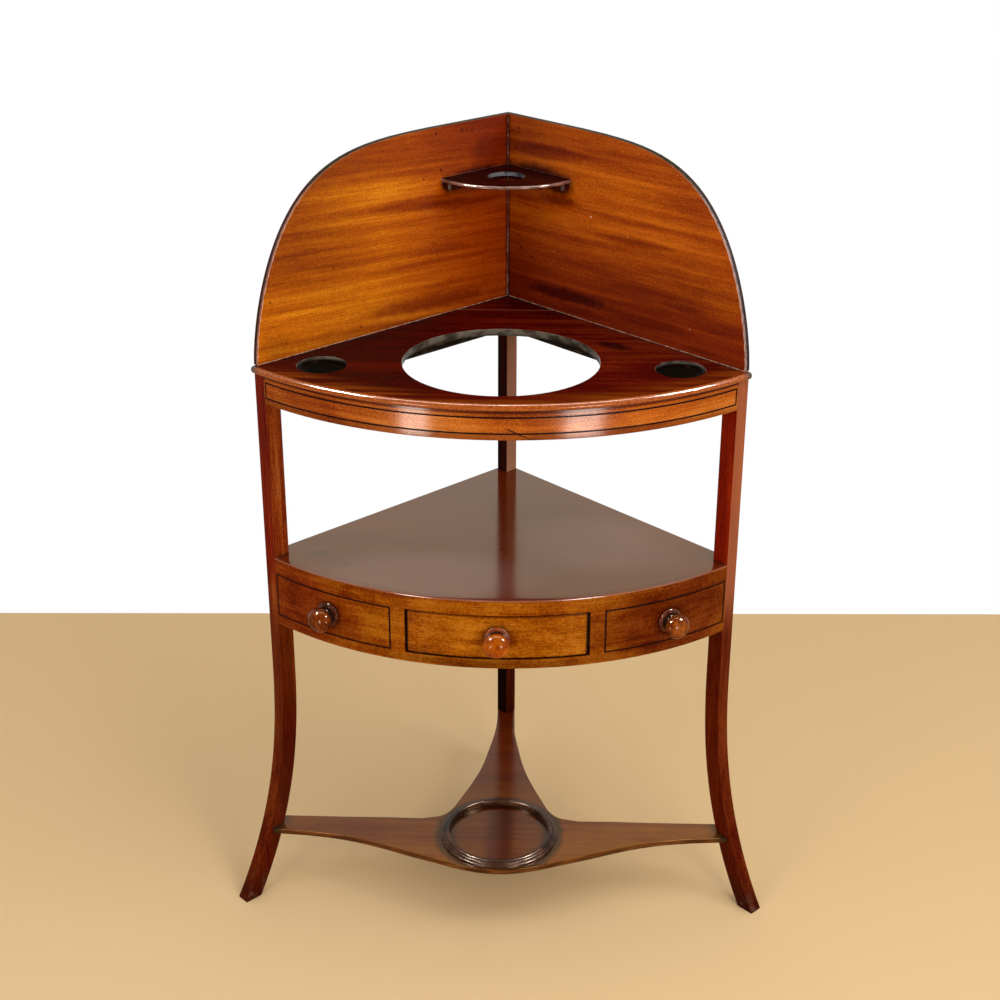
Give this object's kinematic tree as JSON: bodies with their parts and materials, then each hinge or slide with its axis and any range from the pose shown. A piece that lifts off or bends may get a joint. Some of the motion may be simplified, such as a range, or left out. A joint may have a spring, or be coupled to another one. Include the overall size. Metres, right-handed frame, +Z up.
{
  "type": "corner washstand",
  "caption": "Bow-front corner washstand with basin and beaker holes, shaped splashbacks and soap shelf, a middle shelf over a drawer, swept legs and a stretcher with an ewer ring",
  "frame": {"origin": "centre of the bounding box's base: on the floor, midway across the feet and midway between the back corner and the drawer knob's front", "axes": "+Z up; the bowed front faces -Y; +X to the viewer's right; the two walls of the room corner run back at 45 degrees and meet behind, towards +Y"},
  "size_m": [0.7524, 0.4768, 1.059],
  "materials": {
    "splashback_mahogany": "golden-brown mahogany, old wax polish",
    "top_mahogany": "dark red-brown mahogany, old wax polish",
    "front_mahogany": "golden-brown figured mahogany, old wax polish",
    "frame_mahogany": "dark red-brown mahogany, old wax polish",
    "shelf_mahogany": "dark mahogany, glossy polish",
    "knob_mahogany": "turned mahogany, glossy polish",
    "drawer_lining": "unpolished softwood and oak",
    "black_stringing": "ebonised line inlay"
  },
  "bodies": {
    "stand": {"splashback_left": "splashback_mahogany", "splashback_right": "splashback_mahogany", "top_board": "top_mahogany", "top_board_rear": "top_mahogany", "soap_shelf": "top_mahogany", "soap_bearer_left": "top_mahogany", "soap_bearer_right": "top_mahogany", "upper_apron": "front_mahogany", "frieze_front": "front_mahogany", "back_leg": "frame_mahogany", "front_leg_left": "frame_mahogany", "front_leg_right": "frame_mahogany", "upper_back_rail_left": "frame_mahogany", "upper_back_rail_right": "frame_mahogany", "lower_back_rail_left": "frame_mahogany", "lower_back_rail_right": "frame_mahogany", "ewer_ring": "frame_mahogany", "shelf_board": "shelf_mahogany", "stretcher": "shelf_mahogany", "dummy_knob_left": "knob_mahogany", "dummy_knob_right": "knob_mahogany", "drawer_runner_left": "drawer_lining", "drawer_runner_right": "drawer_lining", "drawer_guide_left": "drawer_lining", "drawer_guide_right": "drawer_lining", "drawer_kicker_left": "drawer_lining", "drawer_kicker_right": "drawer_lining", "drawer_stop_left": "drawer_lining", "drawer_stop_right": "drawer_lining", "apron_stringing": "black_stringing", "frieze_stringing_left": "black_stringing", "frieze_stringing_right": "black_stringing"},
    "drawer": {"drawer_front": "front_mahogany", "drawer_side_left": "drawer_lining", "drawer_side_right": "drawer_lining", "drawer_back": "drawer_lining", "drawer_bottom": "drawer_lining", "drawer_knob": "knob_mahogany"}
  },
  "joints": [
    {"name": "drawer_slide", "type": "slide", "parent": "stand", "child": "drawer", "axis": [0, -1, 0], "range_m": [0, 0.2]}
  ]
}
